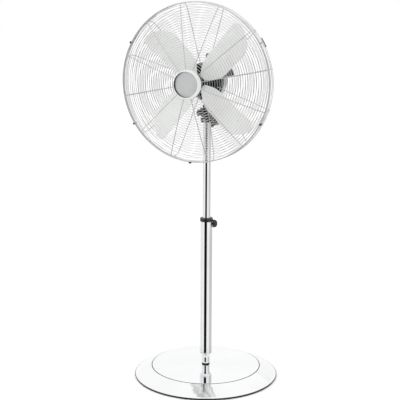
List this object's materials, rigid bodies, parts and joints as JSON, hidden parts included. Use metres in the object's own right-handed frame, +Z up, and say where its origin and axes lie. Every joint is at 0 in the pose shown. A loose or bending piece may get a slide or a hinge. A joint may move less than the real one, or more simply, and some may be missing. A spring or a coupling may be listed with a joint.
{
  "type": "pedestal fan",
  "caption": "Free-standing electric fan: weighted round base, telescopic pole, tilting and swinging motor head, paddle blades in a wire guard.",
  "frame": {"origin": "centre of the footprint at floor level, on the pole's axis", "axes": "+Z up the pole, -Y the way the fan blows with the head straight, +X to the right seen from the front"},
  "size_m": [0.468, 0.4452, 1.155],
  "materials": {
    "chrome": "mirror-polished chrome plate",
    "chrome_wire": "bright chrome-plated wire",
    "black_plastic": "moulded black plastic, light gloss",
    "black_paint": "gloss black paint",
    "silver_paint": "satin silver-grey paint",
    "satin_silver": "fine satin silver",
    "bright_steel": "zinc-plated steel",
    "cast_iron": "as cast, black paint",
    "rubber": "matt black rubber",
    "copper": "enamelled copper wire",
    "aluminium": "bright die-cast aluminium",
    "nylon": "natural nylon"
  },
  "bodies": {
    "base": {"base_cover": "chrome", "base_edge_trim": "black_plastic", "base_plate": "bright_steel", "base_weight": "cast_iron", "base_foot_1": "rubber", "base_foot_2": "rubber", "base_foot_3": "rubber", "base_foot_4": "rubber", "foot_washer": "rubber", "foot_ferrule": "chrome", "base_bolt": "bright_steel", "tube_plug": "bright_steel", "lower_tube": "chrome", "collar_bush": "black_plastic"},
    "clamp": {"clamp_pad": "nylon"},
    "height_knob": {"height_knob": "black_plastic"},
    "mast": {"upper_tube": "chrome", "tube_end_bush": "nylon", "neck_socket": "black_plastic", "neck_screw": "bright_steel", "switch_housing": "black_plastic", "speed_switch": "nylon", "cord_gland": "rubber"},
    "speed_knob": {"speed_knob": "black_plastic"},
    "tilt": {"tilt_bracket": "black_plastic", "tilt_pin": "bright_steel", "tilt_washer": "bright_steel"},
    "tilt_knob": {"tilt_knob": "black_plastic"},
    "link": {"link_rod": "bright_steel", "link_screw": "bright_steel"},
    "head": {"pivot_shaft": "bright_steel", "motor_front_bell": "black_paint", "motor_rear_bell": "aluminium", "stator_core": "bright_steel", "stator_winding": "copper", "front_bearing": "bright_steel", "rear_bearing": "bright_steel", "gearbox_case": "aluminium", "motor_hood": "black_plastic", "rear_guard": "chrome_wire", "guard_nut": "black_plastic", "front_guard": "chrome_wire", "hub_cover": "satin_silver", "guard_latch": "black_plastic", "guard_clip_1": "black_plastic", "guard_clip_2": "black_plastic", "guard_clip_3": "black_plastic", "guard_clip_4": "black_plastic"},
    "oscillation_knob": {"oscillation_knob": "black_plastic"},
    "crank": {"worm_wheel": "nylon", "crank_arm": "bright_steel"},
    "fan": {"rotor": "bright_steel", "motor_shaft": "bright_steel", "blade_hub": "black_paint", "blade_1": "silver_paint", "blade_2": "silver_paint", "blade_3": "silver_paint", "blade_4": "silver_paint", "blade_nut": "black_plastic"}
  },
  "joints": [
    {"name": "height_slide", "type": "slide", "parent": "base", "child": "mast", "axis": [0, 0, 1], "range_m": [-0.285, 0.025]},
    {"name": "clamp_travel", "type": "slide", "parent": "base", "child": "clamp", "axis": [0.9272, 0.3746, 0], "range_m": [0, 0.0013]},
    {"name": "height_knob_turn", "type": "hinge", "parent": "clamp", "child": "height_knob", "pos_m": [0, 0, 0.485], "axis": [0.9272, 0.3746, 0], "range_deg": [0, 360]},
    {"name": "speed_knob_turn", "type": "hinge", "parent": "mast", "child": "speed_knob", "pos_m": [0, 0.06, 0.8035], "axis": [0, 1, 0], "range_deg": [0, 135]},
    {"name": "head_tilt", "type": "hinge", "parent": "mast", "child": "tilt", "pos_m": [0, 0, 0.8245], "axis": [1, 0, 0], "range_deg": [-20, 15]},
    {"name": "tilt_knob_turn", "type": "hinge", "parent": "tilt", "child": "tilt_knob", "pos_m": [-0.03, 0, 0.8245], "axis": [1, 0, 0], "range_deg": [0, 360]},
    {"name": "head_oscillation", "type": "hinge", "parent": "tilt", "child": "head", "pos_m": [0, 0, 0.85], "axis": [0, 0, 1], "range_deg": [-40, 40]},
    {"name": "link_turn", "type": "hinge", "parent": "tilt", "child": "link", "pos_m": [0.02471, 0.0081, 0.8443], "axis": [0, 0, 1], "range_deg": [-42, 42]},
    {"name": "crank_turn", "type": "hinge", "parent": "head", "child": "crank", "pos_m": [-0.02, 0.061, 0.86], "axis": [0, 0, 1], "range_deg": [-95, 95]},
    {"name": "oscillation_knob_slide", "type": "slide", "parent": "head", "child": "oscillation_knob", "axis": [0, 0, 1], "range_m": [-0.006, 0]},
    {"name": "fan_spin", "type": "hinge", "parent": "head", "child": "fan", "pos_m": [0, -0.064, 0.921], "axis": [0, 1, 0], "continuous": true}
  ],
  "couplings": [
    {"joint": "clamp_travel", "follows": "height_knob_turn", "m_per_rad": 0.00019894},
    {"joint": "link_turn", "follows": "head_oscillation", "ratio": 1},
    {"joint": "crank_turn", "follows": "head_oscillation", "ratio": -2.25}
  ]
}
